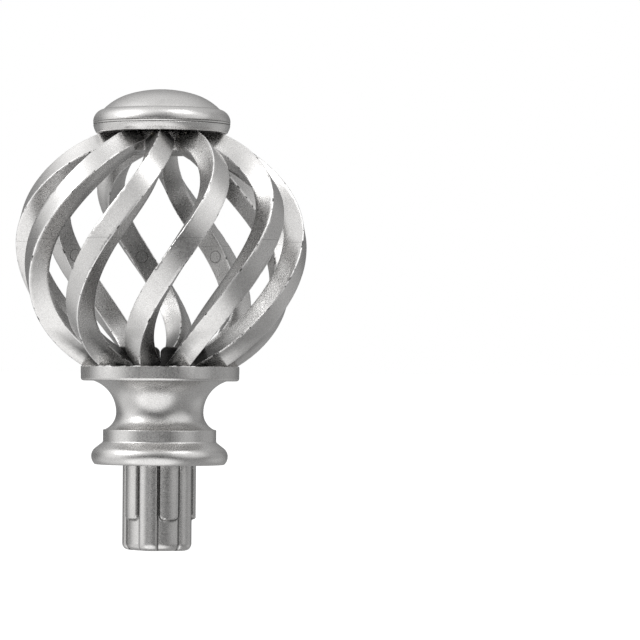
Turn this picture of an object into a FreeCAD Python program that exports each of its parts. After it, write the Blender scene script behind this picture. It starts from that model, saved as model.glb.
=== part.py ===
"""Curtain pole finial: an open ball of ten twisted bars on a turned base, with a domed cap.

Four mouldings are glued together: base, lower half cage, upper half cage and cap.
The frame stands on the pole's axis, at the shoulder that seats on the pole's end.
+Z runs from the pole towards the cap. Sizes are in millimetres and degrees.
"""
import FreeCAD, Part
import math
import os

Vector = FreeCAD.Vector
AXIS = Vector(0, 0, 1)
ORIGIN = Vector(0, 0, 0)

# Spigot that enters the pole's bore
spigot_radius = 11.0
spigot_length = 25.6
spigot_floor_depth = 0.8
spigot_end_round = 2.0
spigot_sectors = 5
lobe_width = 6.4
first_lobe_angle = -21.0
pad_width = 6.4
pad_length = 16.4
pad_corner = 1.3

# Ogee flange and band above it
flange_radius = 20.5
flange_foot_chamfer = 0.6
flange_swell_height = 2.6
flange_swell_round = 4.1
flange_height = 7.7
band_radius = 17.0
band_top = 10.5
band_foot_chamfer = 1.2

# Waisted neck
neck_radius = 13.1
neck_height = 15.6
neck_lower_round = 5.6
neck_upper_round = 9.9

# Collar under the cage
collar_radius = 23.8
collar_bottom = 25.05
collar_thickness = 4.45
collar_edge_chamfer = 0.55
collar_top_chamfer = 0.2

# Ball outline that the bars follow
cage_height = 69.8
ball_radius = 43.4
ball_centre_share = 0.523
ball_overrun_top = 1.3
ball_overrun_foot = 4.4
joint_above_centre = 0.7

# One bar, all sizes square to its own line
bar_count = 10
bar_width = 6.5
bar_width_loss = 0.7
bar_depth = 6.1
bar_depth_gain = 0.6
bar_start_angle = 10.0
bar_sweep = 65.2
bar_sweep_easing = 0.05
bar_mid_shift = 0.9
bar_tip_turn = 3.0
bar_tip_sharpness = 8
roll_middle = -5.0
roll_foot = -40.0
roll_top = 51.0
roll_rate = 27.7
bar_end_gap_foot = 0.5
bar_end_gap_top = 1.0
bar_run_on = 7.0
stations = 13

# Hubs that the bars close in on. Grooves part the lower one between the bars' feet.
lower_hub_radius = 15.6
lower_hub_height = 5.8
foot_shoulder_round = 2.1
groove_overrun = 0.5
upper_hub_radius = 13.0
upper_hub_skirt_radius = 15.5
upper_hub_depth = 6.0

# Locating bosses of the base and cap in the hubs, and pegs in the bars' joint
boss_radius = 6.0
boss_height = 2.2
boss_side_gap = 0.15
boss_end_gap = 0.2
peg_radius = 1.1
peg_height = 2.0
peg_side_gap = 0.1
peg_end_gap = 0.2

# Domed cap with a rolled rim
cap_rim_radius = 20.6
cap_rim_height = 2.95
cap_lower_bulge = 1.55
cap_foot_chamfer = 0.4
cap_rim_round = 3.8
crease_radius = 17.4
dome_rise = 6.35
crown_round = 34.0
crown_width = 10.2
groove_width = 0.3
groove_depth = 0.15

# Levels worked out from the sizes above
collar_top = collar_bottom + collar_thickness
cage_top = collar_top + cage_height
centre_level = collar_top + cage_height * ball_centre_share
ball_rise = cage_top - centre_level + ball_overrun_top
ball_drop = centre_level - collar_top + ball_overrun_foot
joint_level = centre_level + joint_above_centre
floor_radius = spigot_radius - spigot_floor_depth


def point(radius, height):
    """Point of a turned profile."""
    return Vector(radius, 0, height)


def turned(edges):
    """Solid of revolution about the pole's axis."""
    return Part.Face(Part.Wire(edges)).revolve(ORIGIN, AXIS, 360)


def line(start, end):
    """Straight edge."""
    return Part.LineSegment(start, end).toShape()


def arc(start, middle, end):
    """Circular edge through three points."""
    return Part.Arc(start, middle, end).toShape()


def disc(radius, height, level):
    """Cylinder on the axis from a level upwards."""
    return Part.makeCylinder(radius, height, point(0, level), AXIS)


def around(shape, count, first=0.0):
    """Copies of a shape, evenly turned about the axis."""
    copies = []
    for index in range(count):
        copy = shape.copy()
        copy.rotate(ORIGIN, AXIS, first + index * 360.0 / count)
        copies.append(copy)
    return copies


def on_circle(centre, radius, degrees):
    """Point of a circle in the profile's plane."""
    turn = math.radians(degrees)
    return centre + point(radius * math.cos(turn), radius * math.sin(turn))


def flange_profile_edges():
    """Underside, foot, swell and foot of the band of the ogee flange, up to the band's top."""
    foot = point(flange_radius - flange_foot_chamfer, 0)
    foot_end = point(flange_radius, flange_foot_chamfer)
    swell_start = point(flange_radius, flange_swell_height)
    swell_centre = swell_start - point(flange_swell_round, 0)
    rise = min(flange_height - band_foot_chamfer - flange_swell_height, flange_swell_round)
    turn = math.degrees(math.asin(rise / flange_swell_round))
    swell_end = on_circle(swell_centre, flange_swell_round, turn)
    chamfer_start = point(band_radius + band_foot_chamfer, swell_end.z)
    chamfer_end = point(band_radius, swell_end.z + band_foot_chamfer)
    return [
        line(ORIGIN, foot),
        line(foot, foot_end),
        line(foot_end, swell_start),
        arc(swell_start, on_circle(swell_centre, flange_swell_round, turn / 2), swell_end),
        line(swell_end, chamfer_start),
        line(chamfer_start, chamfer_end),
        line(chamfer_end, point(band_radius, band_top)),
    ]


def neck_point(round_radius, level):
    """Point of one of the neck's two hollow rounds at a level."""
    centre = neck_radius + round_radius
    reach = math.sqrt(round_radius ** 2 - (level - neck_height) ** 2)
    return point(centre - reach, level)


def make_body():
    """Flange, band, neck and collar, turned as one profile."""
    band_edge = point(band_radius, band_top)
    lower = neck_point(neck_lower_round, band_top)
    lower_middle = neck_point(neck_lower_round, (band_top + neck_height) / 2)
    waist = point(neck_radius, neck_height)
    upper = neck_point(neck_upper_round, collar_bottom)
    upper_middle = neck_point(neck_upper_round, (collar_bottom + neck_height) / 2)
    under = point(collar_radius - collar_edge_chamfer, collar_bottom)
    side = point(collar_radius, collar_bottom + collar_edge_chamfer)
    rim_side = point(collar_radius, collar_top - collar_top_chamfer)
    rim_top = point(collar_radius - collar_top_chamfer, collar_top)
    edges = flange_profile_edges() + [
        line(band_edge, lower),
        arc(lower, lower_middle, waist),
        arc(waist, upper_middle, upper),
        line(upper, under),
        line(under, side),
        line(side, rim_side),
        line(rim_side, rim_top),
        line(rim_top, point(0, collar_top)),
        line(point(0, collar_top), ORIGIN),
    ]
    return turned(edges)


def make_envelope():
    """Outer limit of the spigot, with its rounded end."""
    end = -spigot_length
    round_centre = point(spigot_radius - spigot_end_round, end + spigot_end_round)
    round_start = point(round_centre.x, end)
    round_end = point(spigot_radius, round_centre.z)
    top = point(spigot_radius, 0)
    edges = [
        line(point(0, end), round_start),
        arc(round_start, on_circle(round_centre, spigot_end_round, -45), round_end),
        line(round_end, top),
        line(top, ORIGIN),
        line(ORIGIN, point(0, end)),
    ]
    return turned(edges)


def make_rib(width, length, corner):
    """Raised rib on the +X side of the spigot, rounded at its lower corners."""
    half = width / 2
    turn = corner * (1 - math.sqrt(0.5))
    places = [
        (half, 0),
        (half, corner - length),
        (half - turn, turn - length),
        (half - corner, -length),
        (corner - half, -length),
        (turn - half, turn - length),
        (-half, corner - length),
        (-half, 0),
    ]
    corners = [Vector(0, across, level) for across, level in places]
    outline = Part.Wire([
        line(corners[0], corners[1]),
        arc(corners[1], corners[2], corners[3]),
        line(corners[3], corners[4]),
        arc(corners[4], corners[5], corners[6]),
        line(corners[6], corners[7]),
        line(corners[7], corners[0]),
    ])
    block = Part.Face(outline).extrude(Vector(spigot_radius, 0, 0))
    return block.common(disc(spigot_radius, spigot_length, -spigot_length))


def make_spigot():
    """Ribbed spigot: a round core, five full-length lobes and a pad in each channel."""
    core = disc(floor_radius, spigot_length, -spigot_length)
    lobe = make_rib(lobe_width, spigot_length, spigot_end_round)
    pad = make_rib(pad_width, pad_length, pad_corner)
    first = first_lobe_angle - 90.0
    lobes = around(lobe, spigot_sectors, first)
    pads = around(pad, spigot_sectors, first + 180.0 / spigot_sectors)
    return core.multiFuse(lobes + pads).common(make_envelope())


def make_base():
    """Base moulding: spigot, turned body and the boss that locates the cage."""
    boss = disc(boss_radius, boss_height, collar_top)
    return make_body().multiFuse([make_spigot(), boss]).removeSplitter()


def ball_line(share):
    """Radius, level and angle of a bar's outer face at a share from foot (-1) to top (+1)."""
    low = collar_top - bar_end_gap_foot
    high = cage_top + 2 * bar_end_gap_top
    level = (low + high) / 2 + share * (high - low) / 2
    above = level - centre_level
    reach = ball_rise if above > 0 else ball_drop
    radius = ball_radius * math.sqrt(max(1 - (above / reach) ** 2, 0.01))
    eased = share * (1 + bar_sweep_easing) - bar_sweep_easing * share ** 3
    angle = bar_start_angle + bar_sweep / 2 * eased + bar_mid_shift * share ** 2
    angle += bar_tip_turn * max(share, 0) ** bar_tip_sharpness
    return radius, level, angle


def bar_roll(share):
    """Turn of a bar about its own line: it leans one way at the foot and the other at the top."""
    even = (roll_top + roll_foot) / 2 - roll_middle
    cubic = (roll_top - roll_foot) / 2 - roll_rate
    return roll_middle + roll_rate * share + even * share ** 2 + cubic * share ** 3


def line_point(share):
    """Point on the middle of a bar's outer face. The angle starts at -Y and grows towards +X."""
    radius, level, angle = ball_line(share)
    turn = math.radians(angle)
    return Vector(radius * math.sin(turn), -radius * math.cos(turn), level)


def bar_axes(share):
    """Point, direction of travel, outward normal and width direction of a bar."""
    step = 0.002
    here = line_point(share)
    travel = (line_point(share + step) - line_point(share - step)).normalize()
    low = ball_line(share - step)
    high = ball_line(share + step)
    turn = math.radians(ball_line(share)[2])
    outward = Vector(math.sin(turn), -math.cos(turn), 0)
    normal = (outward * (high[1] - low[1]) - AXIS * (high[0] - low[0])).normalize()
    across = travel.cross(normal).normalize()
    roll = math.radians(bar_roll(share))
    leaning_normal = normal * math.cos(roll) + across * math.sin(roll)
    leaning_across = across * math.cos(roll) - normal * math.sin(roll)
    return here, travel, leaning_normal, leaning_across


def bar_section(share, run_on=0.0):
    """Rectangle square to the bar's line, with its outer face on the line."""
    here, travel, normal, across = bar_axes(share)
    here = here + travel * run_on
    side = across * (bar_width - bar_width_loss * share ** 2) / 2
    depth = normal * (bar_depth + bar_depth_gain * share ** 2)
    corners = [here + side, here + side - depth, here - side - depth, here - side]
    return Part.makePolygon(corners + corners[:1])


def make_bar():
    """One whole bar, lofted through sections, with straight ends that run into the hubs."""
    first = -1.0
    last = share_at_top()
    sections = [bar_section(first, -bar_run_on)]
    for number in range(stations):
        sections.append(bar_section(first + (last - first) * number / (stations - 1)))
    sections.append(bar_section(last, bar_run_on))
    return Part.makeLoft(sections, True, False)


def share_at_top():
    """Share at which a bar's line passes just under the cap."""
    low = collar_top - bar_end_gap_foot
    high = cage_top + 2 * bar_end_gap_top
    return 2 * (cage_top - bar_end_gap_top - low) / (high - low) - 1


def slab(bottom, top):
    """Thick disc that holds one half of the cage."""
    return disc(2 * ball_radius, top - bottom, bottom)


def make_cage_half(bar, hub, bottom, top):
    """Ten bars between two levels, joined by a hub."""
    piece = bar.common(slab(bottom, top))
    return hub.multiFuse(around(piece, bar_count))


def make_foot_groove():
    """Groove across the lower hub's top, a V between two rounded shoulders."""
    top = collar_top + lower_hub_height
    left = point(-foot_shoulder_round, top)
    bottom = point(0, top - foot_shoulder_round)
    right = point(foot_shoulder_round, top)
    left_centre = left - AXIS * foot_shoulder_round
    right_centre = right - AXIS * foot_shoulder_round
    clear = AXIS * groove_overrun
    outline = Part.Wire([
        arc(left, on_circle(left_centre, foot_shoulder_round, 45), bottom),
        arc(bottom, on_circle(right_centre, foot_shoulder_round, 135), right),
        line(right, right + clear),
        line(right + clear, left + clear),
        line(left + clear, left),
    ])
    outline.translate(Vector(0, -lower_hub_radius, 0))
    return Part.Face(outline).extrude(Vector(0, 2 * lower_hub_radius, 0))


def peg_place():
    """Centre of a bar's section at the joint between the halves."""
    share = 0.0
    for _ in range(20):
        share += (joint_level - ball_line(share)[1]) / (cage_height / 2)
    here, _, normal, _ = bar_axes(share)
    return here - normal * (bar_depth / 2)


def make_lower_cage(bar):
    """Lower half cage: bars, grooved hub with its socket for the base's boss, and joint pegs."""
    hub = disc(lower_hub_radius, lower_hub_height, collar_top)
    grooves = [make_foot_groove() for _ in range(bar_count // 2)]
    for index, groove in enumerate(grooves):
        groove.rotate(ORIGIN, AXIS, index * 360.0 / bar_count)
    hub = hub.cut(grooves)
    half = make_cage_half(bar, hub, collar_top, joint_level)
    socket = disc(boss_radius + boss_side_gap, boss_height + boss_end_gap, collar_top)
    place = peg_place()
    place.z = joint_level - peg_height
    peg = Part.makeCylinder(peg_radius, 2 * peg_height, place, AXIS)
    return half.multiFuse(around(peg, bar_count)).cut(socket)


def make_upper_cage(bar):
    """Upper half cage: bars, hub with its socket for the cap's boss, and peg holes."""
    hub_bottom = cage_top - upper_hub_depth
    hub = Part.makeCone(
        upper_hub_skirt_radius, upper_hub_radius, upper_hub_depth, point(0, hub_bottom), AXIS
    )
    half = make_cage_half(bar, hub, joint_level, cage_top)
    socket_depth = boss_height + boss_end_gap
    socket = disc(boss_radius + boss_side_gap, socket_depth, cage_top - socket_depth)
    place = peg_place()
    place.z = joint_level
    hole = Part.makeCylinder(peg_radius + peg_side_gap, peg_height + peg_end_gap, place, AXIS)
    return half.cut(Part.makeCompound([socket] + around(hole, bar_count)))


def dome_edges(crease):
    """Crown and shoulder rounds of the dome, tangent to each other, down to the crease."""
    crown = point(0, crease.z + dome_rise)
    crown_centre = crown - AXIS * crown_round
    turn = math.degrees(math.acos(crown_width / crown_round))
    joint = on_circle(crown_centre, crown_round, turn)
    outward = (joint - crown_centre).normalize()
    chord = joint - crease
    shoulder_round = chord.dot(chord) / (2 * outward.dot(chord))
    shoulder_centre = joint - outward * shoulder_round
    halfway = ((joint + crease) * 0.5 - shoulder_centre).normalize()
    return [
        arc(crease, shoulder_centre + halfway * shoulder_round, joint),
        arc(joint, on_circle(crown_centre, crown_round, (turn + 90) / 2), crown),
    ]


def make_cap():
    """Cap: rolled rim with a fine groove, dome above it and a locating boss below."""
    groove_half = AXIS * groove_width / 2
    widest = point(cap_rim_radius, cage_top + cap_rim_height)
    lower_start = widest - groove_half
    upper_start = widest + groove_half
    lower_round = cap_lower_bulge * cap_rim_height
    lower_centre = lower_start - point(lower_round, 0)
    drop = lower_start.z - cage_top - cap_foot_chamfer
    lower_angle = -math.degrees(math.asin(drop / lower_round))
    lower_end = on_circle(lower_centre, lower_round, lower_angle)
    under = point(lower_end.x - cap_foot_chamfer, cage_top)
    roll_centre = upper_start - point(cap_rim_round, 0)
    roll_angle = math.degrees(math.acos((crease_radius - roll_centre.x) / cap_rim_round))
    crease = on_circle(roll_centre, cap_rim_round, roll_angle)
    groove_floor = widest - point(groove_depth, 0)
    boss_side = point(boss_radius, cage_top)
    boss_end = boss_side - AXIS * boss_height
    middle = point(0, boss_end.z)
    edges = [
        line(middle, boss_end),
        line(boss_end, boss_side),
        line(boss_side, under),
        line(under, lower_end),
        arc(lower_end, on_circle(lower_centre, lower_round, lower_angle / 2), lower_start),
        line(lower_start, groove_floor),
        line(groove_floor, upper_start),
        arc(upper_start, on_circle(roll_centre, cap_rim_round, roll_angle / 2), crease),
    ] + dome_edges(crease)
    edges.append(line(point(0, crease.z + dome_rise), middle))
    return turned(edges)


def export(shape, name):
    """Write one node."""
    solids = shape.Solids
    print(name, "solids", len(solids), "volume", round(shape.Volume, 1), "valid", shape.isValid())
    piece = solids[0] if len(solids) == 1 else shape
    piece.exportStep(os.path.join("parts", name + ".step"))


def main():
    """Build the four mouldings."""
    os.makedirs("parts", exist_ok=True)
    bar = make_bar()
    export(make_base(), "base")
    export(make_lower_cage(bar), "cage_lower")
    export(make_upper_cage(bar), "cage_upper")
    export(make_cap(), "cap")


main()
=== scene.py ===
"""Looks of a curtain pole finial: twisted open ball, turned base, ribbed spigot and domed cap.

Every piece is in metres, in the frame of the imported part: +Z runs from the pole towards the cap
and -Y is the side that the camera looks at.
"""

import logging
import math
from dataclasses import dataclass
from enum import Enum

import bmesh
import bpy
from mathutils import Matrix, Vector, noise

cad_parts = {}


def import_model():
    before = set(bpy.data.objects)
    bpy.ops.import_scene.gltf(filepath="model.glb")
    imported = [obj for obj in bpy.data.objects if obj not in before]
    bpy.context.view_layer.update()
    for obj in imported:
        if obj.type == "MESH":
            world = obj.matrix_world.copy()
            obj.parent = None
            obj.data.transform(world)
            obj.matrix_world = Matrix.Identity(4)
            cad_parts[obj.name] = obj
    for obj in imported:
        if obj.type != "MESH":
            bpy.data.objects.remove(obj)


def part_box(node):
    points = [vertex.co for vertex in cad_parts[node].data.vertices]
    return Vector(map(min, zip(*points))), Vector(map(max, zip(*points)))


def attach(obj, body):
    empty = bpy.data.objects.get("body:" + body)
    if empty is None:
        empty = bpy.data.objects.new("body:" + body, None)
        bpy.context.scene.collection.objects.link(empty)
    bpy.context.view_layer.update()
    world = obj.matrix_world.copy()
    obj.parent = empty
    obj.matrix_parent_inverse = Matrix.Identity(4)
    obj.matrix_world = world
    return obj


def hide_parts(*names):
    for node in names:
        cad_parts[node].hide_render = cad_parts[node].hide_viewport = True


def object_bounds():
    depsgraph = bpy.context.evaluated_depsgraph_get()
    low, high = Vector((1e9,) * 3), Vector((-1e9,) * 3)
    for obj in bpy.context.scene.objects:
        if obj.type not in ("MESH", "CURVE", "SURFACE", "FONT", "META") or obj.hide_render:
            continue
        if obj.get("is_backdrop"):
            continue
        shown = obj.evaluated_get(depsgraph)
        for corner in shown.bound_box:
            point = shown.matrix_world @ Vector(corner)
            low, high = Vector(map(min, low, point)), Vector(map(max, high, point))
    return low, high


logging.basicConfig(level=logging.INFO, format="%(message)s")
log = logging.getLogger("finial")

MM = 0.001
BODY = "root"
# Attribute that holds the painted shade along the spigot's crevices.
CREVICE_SHADE = "crevice"
UP = Vector((0, 0, 1))
NOISE_LOW, NOISE_HIGH = 0.3, 0.7


class Surface(Enum):
    """Order of the materials on every painted piece."""

    PAINT = 0
    EDGE = 1
    # Near-black colour painted as shade in grooves and fine lines.
    GROOVE_SHADE = 2


def polar(radius: float, degrees: float, level: float) -> Vector:
    """Place at a radius and level. The angle starts at -Y and grows towards +X."""
    turn = math.radians(degrees)
    return Vector((radius * math.sin(turn), -radius * math.cos(turn), level))


def ease(low: float, high: float, value: float) -> float:
    """Smooth step from 0 at low to 1 at high."""
    share = min(max((value - low) / (high - low), 0.0), 1.0)
    return share * share * (3 - 2 * share)


# Materials


class NodeBench:
    """Short ways to add and join the nodes of one material, or of the surround."""

    def __init__(self, name: str, world: bpy.types.World = None) -> None:
        """Starts an empty node tree with an output.

        Args:
            name: The new material's name.
            world: The surround to work on, instead of a new material.
        """
        self.material = world or bpy.data.materials.new(name)
        self.material.use_nodes = True
        self.tree = self.material.node_tree
        self.tree.nodes.clear()
        kind = "ShaderNodeOutputWorld" if world else "ShaderNodeOutputMaterial"
        self.output = self.tree.nodes.new(kind)
        self.place = self.tree.nodes.new("ShaderNodeTexCoord").outputs["Object"]

    def node(self, kind: str, **settings: object) -> bpy.types.Node:
        """Adds a node and sets its properties.

        Args:
            kind: The node's type.
            **settings: Its properties, by name.

        Returns:
            The node.
        """
        made = self.tree.nodes.new(kind)
        for key, value in settings.items():
            setattr(made, key, value)
        return made

    def join(self, source: bpy.types.NodeSocket, target: bpy.types.NodeSocket) -> None:
        """Links two sockets."""
        self.tree.links.new(source, target)

    def noise(self, scale: float, detail: float = 2.0, rough: float = 0.5) -> bpy.types.NodeSocket:
        """Noise on the piece's own coordinates.

        Args:
            scale: Cells per metre.
            detail: Octaves.
            rough: Strength of the finer octaves.

        Returns:
            The noise's value, about 0 to 1.
        """
        made = self.node("ShaderNodeTexNoise")
        made.inputs["Scale"].default_value = scale
        made.inputs["Detail"].default_value = detail
        made.inputs["Roughness"].default_value = rough
        self.join(self.place, made.inputs["Vector"])
        return made.outputs["Fac"]

    def remap(
        self, value: bpy.types.NodeSocket, low: float, high: float, start: float, end: float
    ) -> bpy.types.NodeSocket:
        """Stretches a value from low..high to start..end and holds it there outside.

        Args:
            value: The value.
            low: Where the result is start.
            high: Where the result is end.
            start: Result at low.
            end: Result at high.

        Returns:
            The stretched value.
        """
        made = self.node("ShaderNodeMapRange", clamp=True)
        names = ("From Min", "From Max", "To Min", "To Max")
        for name, number in zip(names, (low, high, start, end)):
            made.inputs[name].default_value = number
        self.join(value, made.inputs["Value"])
        return made.outputs["Result"]

    def maths(
        self, operation: str, first: bpy.types.NodeSocket, second: object = None, third: float = 0.0
    ) -> bpy.types.NodeSocket:
        """Works out a value from up to three.

        Args:
            operation: What the node does.
            first: First value.
            second: Second value, as a socket or a number.
            third: Third value.

        Returns:
            The result.
        """
        made = self.node("ShaderNodeMath", operation=operation)
        self.join(first, made.inputs[0])
        if isinstance(second, (int, float)):
            made.inputs[1].default_value = second
        elif second is not None:
            self.join(second, made.inputs[1])
        made.inputs[2].default_value = third
        return made.outputs[0]

    def vector(
        self, operation: str, first: bpy.types.NodeSocket, second: tuple = (0, 0, 0)
    ) -> bpy.types.Node:
        """Works on a vector.

        Args:
            operation: What the node does.
            first: First vector.
            second: Second vector.

        Returns:
            The node, with the result in its Vector or Value output.
        """
        made = self.node("ShaderNodeVectorMath", operation=operation)
        self.join(first, made.inputs[0])
        made.inputs[1].default_value = second
        return made

    def split(self, source: bpy.types.NodeSocket) -> bpy.types.bpy_prop_collection:
        """Splits a vector.

        Args:
            source: The vector.

        Returns:
            Its X, Y and Z outputs.
        """
        made = self.node("ShaderNodeSeparateXYZ")
        self.join(source, made.inputs[0])
        return made.outputs

    def shade(
        self, value: bpy.types.NodeSocket, dark: tuple, light: tuple
    ) -> bpy.types.NodeSocket:
        """Mixes two tones.

        Args:
            value: Share of the light tone, from 0 to 1.
            dark: Red, green and blue of the dark tone.
            light: Red, green and blue of the light tone.

        Returns:
            The colour.
        """
        made = self.node("ShaderNodeMix", data_type="RGBA", clamp_factor=True)
        self.join(value, made.inputs["Factor"])
        made.inputs["A"].default_value = (*dark, 1.0)
        made.inputs["B"].default_value = (*light, 1.0)
        return made.outputs["Result"]

    def multiply(
        self, colour: bpy.types.NodeSocket, value: bpy.types.NodeSocket
    ) -> bpy.types.NodeSocket:
        """Makes a colour darker or lighter.

        Args:
            colour: The colour.
            value: The factor.

        Returns:
            The changed colour.
        """
        made = self.vector("SCALE", colour)
        self.join(value, made.inputs["Scale"])
        return made.outputs["Vector"]


@dataclass(frozen=True)
class SilverPaint:
    """Metallic silver sprayed over moulded plastic, with a fine speckle of flake."""

    name: str
    dark: tuple = (0.54, 0.532, 0.525)
    light: tuple = (0.84, 0.83, 0.82)
    flake_per_m: float = 2900.0
    flake_share: float = 0.7
    flake_rough: float = 0.7
    gloss_share: float = 0.6
    cloud_per_m: float = 55.0
    metallic: float = 0.93
    roughness: float = 0.29
    roughness_spread: float = 0.05
    bump_depth: float = 0.02 * MM
    bump_strength: float = 0.8
    # Painted shade in the recesses at the cage's ends: where it lies, how far out it reaches and how dark
    # it is.
    recess_low: float = 0.0
    recess_high: float = 0.0
    recess_radius: float = 20 * MM
    recess_slope: float = 0.0
    recess_fade: float = 3.5 * MM
    recess_ragged: float = 0.8 * MM
    recess_ragged_per_m: float = 420.0
    recess_shade_tone: float = 0.3
    ball_radius: float = 0.0
    ball_level: float = 0.0
    ball_reach: float = 1.0
    # Painted shade on the bars' inner faces: where it starts, where it ends and how dark it is.
    inside_low: float = 0.862
    inside_high: float = 0.9
    inside_shade_tone: float = 0.7
    joint_level: float = 0.0
    joint_half: float = 0.07 * MM
    joint_core: float = 0.7
    joint_tone: float = 0.55
    # Painted shade along the spigot's crevices, read from the piece's attribute.
    crevice_shade_tone: float = 1.0

    def recess_shade(self, bench: NodeBench) -> bpy.types.NodeSocket:
        """Painted shade in the recesses just under the cap and above the collar.

        Args:
            bench: The material's nodes.

        Returns:
            A factor for the colour: 1 on open faces, the painted shade's tone in the recesses.
        """
        flat = bench.vector("MULTIPLY", bench.place, (1, 1, 0)).outputs["Vector"]
        radius = bench.vector("LENGTH", flat).outputs["Value"]
        uneven = bench.noise(self.recess_ragged_per_m, 3.0)
        ragged = bench.maths("MULTIPLY_ADD", uneven, 2 * self.recess_ragged, -self.recess_ragged)
        level = bench.maths("ADD", bench.split(bench.place)["Z"], ragged)
        slope = self.recess_slope
        lean = bench.maths("MULTIPLY_ADD", level, -slope, slope * self.recess_high)
        reach = bench.maths("ADD", radius, lean)
        inside_shade = bench.remap(reach, self.recess_radius, self.recess_radius + self.recess_fade, 1.0, 0.0)
        near = bench.remap(level, self.recess_low, self.recess_high, 0.0, 1.0)
        return bench.remap(bench.maths("MULTIPLY", inside_shade, near), 0.0, 1.0, 1.0, self.recess_shade_tone)

    def inside_shade(self, bench: NodeBench) -> bpy.types.NodeSocket:
        """Painted shade on the inner faces of the ball's bars.

        Args:
            bench: The material's nodes.

        Returns:
            A factor for the colour: 1 on the outer faces, the painted shade's tone on the inner faces.
        """
        shift = bench.vector("ADD", bench.place, (0, 0, -self.ball_level))
        scale = (1 / self.ball_radius, 1 / self.ball_radius, 1 / self.ball_reach)
        squeeze = bench.vector("MULTIPLY", shift.outputs["Vector"], scale)
        out = bench.vector("LENGTH", squeeze.outputs["Vector"]).outputs["Value"]
        return bench.remap(out, self.inside_low, self.inside_high, self.inside_shade_tone, 1.0)

    def joint(self, bench: NodeBench) -> bpy.types.NodeSocket:
        """Hairline at the joint between the halves of the ball.

        Args:
            bench: The material's nodes.

        Returns:
            A factor for the colour: 1 away from the joint, the joint's tone on it.
        """
        above = bench.maths("SUBTRACT", bench.split(bench.place)["Z"], self.joint_level)
        away = bench.maths("ABSOLUTE", above)
        core = self.joint_half * self.joint_core
        return bench.remap(away, core, self.joint_half, self.joint_tone, 1.0)

    def build(self) -> bpy.types.Material:
        """Makes the material.

        Returns:
            The painted surface: speckled, slightly cloudy, with painted shade in the recesses, on the bars'
                inner faces and along the crevices, and a dark joint line.
        """
        bench = NodeBench(self.name)
        shader = bench.node("ShaderNodeBsdfPrincipled")
        shader.inputs["Metallic"].default_value = self.metallic
        flake = bench.noise(self.flake_per_m, 3.0, self.flake_rough)
        cloud = bench.noise(self.cloud_per_m, 3.0)
        speckle = bench.remap(flake, NOISE_LOW, NOISE_HIGH, 0.0, self.flake_share)
        cloudy = bench.remap(cloud, NOISE_LOW, NOISE_HIGH, 0.0, 1 - self.flake_share)
        colour = bench.shade(bench.maths("ADD", speckle, cloudy), self.dark, self.light)
        # Painted shade in the recesses under the cap and above the collar.
        if self.recess_high != self.recess_low:
            colour = bench.multiply(colour, self.recess_shade(bench))
        # Painted shade on the bars' inner faces.
        if self.ball_radius:
            colour = bench.multiply(colour, self.inside_shade(bench))
        # Painted shade along the spigot's crevices.
        if self.crevice_shade_tone < 1:
            depth = bench.node("ShaderNodeAttribute", attribute_name=CREVICE_SHADE).outputs["Fac"]
            colour = bench.multiply(colour, bench.remap(depth, 0.0, 1.0, 1.0, self.crevice_shade_tone))
        if self.joint_level:
            colour = bench.multiply(colour, self.joint(bench))
        bench.join(colour, shader.inputs["Base Color"])
        gloss = bench.remap(
            bench.noise(self.flake_per_m * self.gloss_share), NOISE_LOW, NOISE_HIGH,
            self.roughness - self.roughness_spread, self.roughness + self.roughness_spread,
        )
        bench.join(gloss, shader.inputs["Roughness"])
        bump = bench.node("ShaderNodeBump")
        bump.inputs["Strength"].default_value = self.bump_strength
        bump.inputs["Distance"].default_value = self.bump_depth
        bench.join(flake, bump.inputs["Height"])
        bench.join(bump.outputs["Normal"], shader.inputs["Normal"])
        bench.join(shader.outputs["BSDF"], bench.output.inputs["Surface"])
        return bench.material


@dataclass(frozen=True)
class WornEdge:
    """Sharp edge of a moulding: bright where the paint is rubbed, dark where it has chipped off."""

    name: str
    chipped: tuple = (0.05, 0.048, 0.045)
    rubbed: tuple = (0.86, 0.85, 0.845)
    chips_per_m: float = 480.0
    chips_rough: float = 0.6
    chip_from: float = 0.37
    chip_to: float = 0.43
    roughness: float = 0.34

    def build(self) -> bpy.types.Material:
        """Makes the material.

        Returns:
            The edge's surface.
        """
        bench = NodeBench(self.name)
        shader = bench.node("ShaderNodeBsdfPrincipled")
        patches = bench.noise(self.chips_per_m, 3.0, self.chips_rough)
        whole = bench.remap(patches, self.chip_from, self.chip_to, 0.0, 1.0)
        bench.join(bench.shade(whole, self.chipped, self.rubbed), shader.inputs["Base Color"])
        bench.join(whole, shader.inputs["Metallic"])
        shader.inputs["Roughness"].default_value = self.roughness
        bench.join(shader.outputs["BSDF"], bench.output.inputs["Surface"])
        return bench.material


@dataclass(frozen=True)
class PaintedGrooveShade:
    """Near-black mottled colour painted as shade in the marks' grooves and the cap's fine lines."""

    name: str
    dark: tuple = (0.035, 0.033, 0.031)
    light: tuple = (0.11, 0.105, 0.1)
    mottle_per_m: float = 900.0
    mottle_low: float = 0.35
    mottle_high: float = 0.65
    roughness: float = 0.5

    def build(self) -> bpy.types.Material:
        """Makes the material.

        Returns:
            The mottled near-black painted shade.
        """
        bench = NodeBench(self.name)
        shader = bench.node("ShaderNodeBsdfPrincipled")
        tone = bench.remap(bench.noise(self.mottle_per_m, 3.0), self.mottle_low, self.mottle_high, 0.0, 1.0)
        bench.join(bench.shade(tone, self.dark, self.light), shader.inputs["Base Color"])
        shader.inputs["Roughness"].default_value = self.roughness
        bench.join(shader.outputs["BSDF"], bench.output.inputs["Surface"])
        return bench.material


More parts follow.
